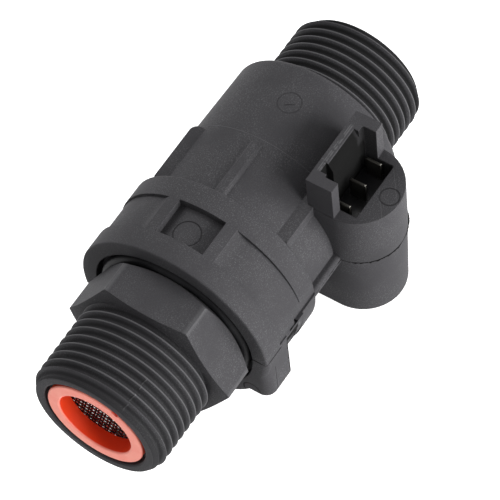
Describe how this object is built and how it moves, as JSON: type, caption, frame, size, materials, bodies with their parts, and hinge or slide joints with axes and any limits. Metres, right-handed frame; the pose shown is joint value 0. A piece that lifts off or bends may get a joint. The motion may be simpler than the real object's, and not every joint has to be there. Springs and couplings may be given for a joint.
{
  "type": "water flow sensor",
  "caption": "Inline turbine flow sensor: moulded tube with male pipe threads, hexagon, red strainer in the inlet, collar, and a side boss with an open plug socket.",
  "frame": {"origin": "centre of the inlet's end face, on the flow axis", "axes": "+X along the flow from inlet to outlet, +Z the way the plug pulls out of the side boss, side boss on -Y"},
  "size_m": [0.0862, 0.0447, 0.0396],
  "materials": {
    "black_nylon": "satin, lightly speckled with glass fibre",
    "seal_rubber": "matte",
    "red_plastic": "satin",
    "steel": "plain drawn wire and bar",
    "white_plastic": "satin",
    "rotor_plastic": "satin",
    "ferrite": "ground",
    "bearing_plastic": "satin",
    "board_green": "lacquered",
    "chip_black": "matte",
    "chip_tan": "satin",
    "plated_brass": "plated, bright",
    "resin_black": "cast"
  },
  "bodies": {
    "sensor_body": {"main_body": "black_nylon", "inlet_adapter": "black_nylon", "adapter_seal": "seal_rubber", "strainer_holder": "red_plastic", "strainer_mesh": "steel", "flow_guide": "white_plastic", "guide_seal": "seal_rubber", "spacer_sleeve": "white_plastic", "front_bearing": "bearing_plastic", "rear_bearing": "bearing_plastic", "rear_support": "white_plastic", "circuit_board": "board_green", "hall_sensor": "chip_black", "capacitor": "chip_tan", "resistor": "chip_black", "contact_pin_1": "plated_brass", "contact_pin_2": "plated_brass", "contact_pin_3": "plated_brass", "potting_cap": "resin_black"},
    "turbine": {"rotor": "rotor_plastic", "rotor_magnet": "ferrite", "rotor_shaft": "steel", "front_washer": "bearing_plastic", "rear_washer": "bearing_plastic"}
  },
  "joints": [
    {"name": "turbine_spin", "type": "hinge", "parent": "sensor_body", "child": "turbine", "pos_m": [0.0576, 0, 0], "axis": [1, 0, 0], "continuous": true}
  ]
}
